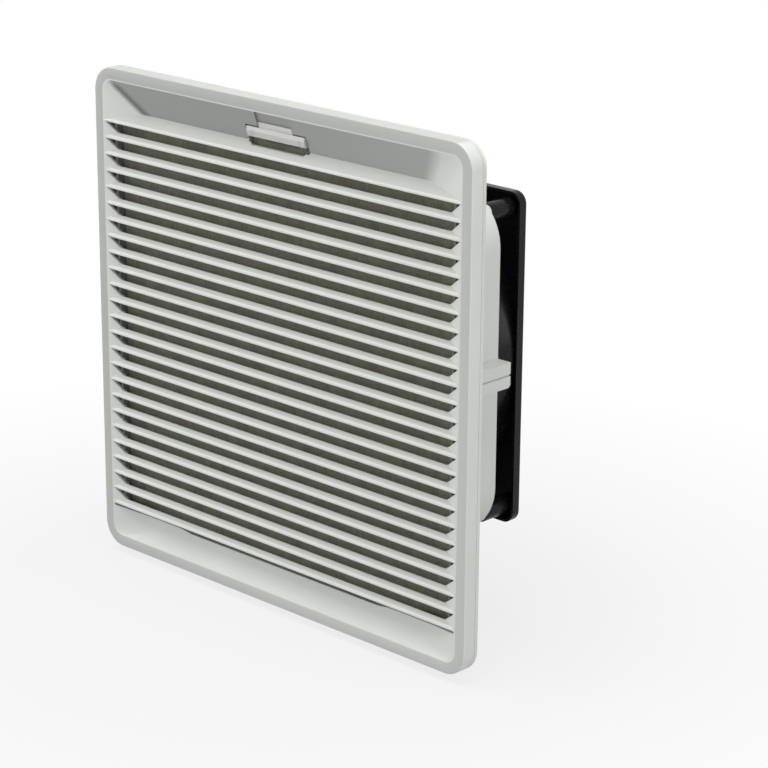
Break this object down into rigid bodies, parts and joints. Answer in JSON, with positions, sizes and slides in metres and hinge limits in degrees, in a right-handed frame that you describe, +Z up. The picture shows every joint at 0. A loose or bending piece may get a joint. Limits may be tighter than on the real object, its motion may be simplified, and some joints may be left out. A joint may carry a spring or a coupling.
{
  "type": "enclosure filter fan",
  "caption": "Square louvred filter fan for a control enclosure: hinged front cover with latch, filter mat, sealing strip, panel clips and a rear axial fan on a square plate.",
  "frame": {"origin": "centre of the panel plane, where the sealing strip's rear face meets the enclosure panel", "axes": "+X right seen from the front, +Y into the enclosure along the fan's axis, +Z up"},
  "size_m": [0.325, 0.1189, 0.325],
  "materials": {
    "cover_plastic": "fine satin moulding",
    "housing_plastic": "fine satin moulding",
    "grid_plastic": "satin moulding",
    "clip_plastic": "satin moulding",
    "clear_plastic": "clear polished plastic",
    "filter_fibre": "loose bonded fibre",
    "seal": "closed-cell foam",
    "black_plate": "smooth black paint",
    "blade_plastic": "satin black",
    "rotor_paint": "satin black paint",
    "guard_wire": "plated wire",
    "cast_base": "die-cast",
    "steel": "zinc-plated",
    "bearing_steel": "ground",
    "laminations": "stacked sheet",
    "winding": "enamelled wire",
    "terminal_plastic": "moulded",
    "terminal_brass": "plated brass"
  },
  "bodies": {
    "frame": {"mounting_frame": "housing_plastic", "panel_gasket": "seal", "filter_grid": "grid_plastic", "filter_mat": "filter_fibre", "clip_pins": "steel", "fan_housing": "black_plate", "plate_screws": "steel", "motor_base": "cast_base", "stator_core": "laminations", "stator_winding": "winding", "bearings": "bearing_steel", "finger_guard": "guard_wire", "guard_screws": "steel", "guard_nuts": "steel", "motor_screws": "steel", "terminal_block": "terminal_plastic", "terminal_screws": "terminal_brass"},
    "cover": {"front_cover": "cover_plastic", "hinge_pins": "steel"},
    "latch": {"latch": "clear_plastic"},
    "impeller": {"impeller": "blade_plastic", "rotor_can": "rotor_paint", "shaft": "bearing_steel", "retaining_ring": "laminations"},
    "clip_right": {"clip_right": "clip_plastic"},
    "clip_top": {"clip_top": "clip_plastic"},
    "clip_left": {"clip_left": "clip_plastic"},
    "clip_bottom": {"clip_bottom": "clip_plastic"}
  },
  "joints": [
    {"name": "cover_hinge", "type": "hinge", "parent": "frame", "child": "cover", "pos_m": [0, -0.0062, -0.1603], "axis": [1, 0, 0], "range_deg": [0, 90]},
    {"name": "latch_pivot", "type": "hinge", "parent": "cover", "child": "latch", "pos_m": [0, -0.0059, 0.1452], "axis": [-1, 0, 0], "range_deg": [0, 8], "stiffness_Nm_per_rad": 0.05},
    {"name": "impeller_spin", "type": "hinge", "parent": "frame", "child": "impeller", "pos_m": [0, 0.063, 0], "axis": [0, 1, 0], "continuous": true},
    {"name": "clip_right_pivot", "type": "hinge", "parent": "frame", "child": "clip_right", "pos_m": [0.14275, 0.0134, 0], "axis": [0, 0, -1], "range_deg": [0, 16], "stiffness_Nm_per_rad": 0.2},
    {"name": "clip_top_pivot", "type": "hinge", "parent": "frame", "child": "clip_top", "pos_m": [0, 0.0134, 0.14275], "axis": [1, 0, 0], "range_deg": [0, 16], "stiffness_Nm_per_rad": 0.2},
    {"name": "clip_left_pivot", "type": "hinge", "parent": "frame", "child": "clip_left", "pos_m": [-0.14275, 0.0134, 0], "axis": [0, 0, 1], "range_deg": [0, 16], "stiffness_Nm_per_rad": 0.2},
    {"name": "clip_bottom_pivot", "type": "hinge", "parent": "frame", "child": "clip_bottom", "pos_m": [0, 0.0134, -0.14275], "axis": [-1, 0, 0], "range_deg": [0, 16], "stiffness_Nm_per_rad": 0.2}
  ]
}
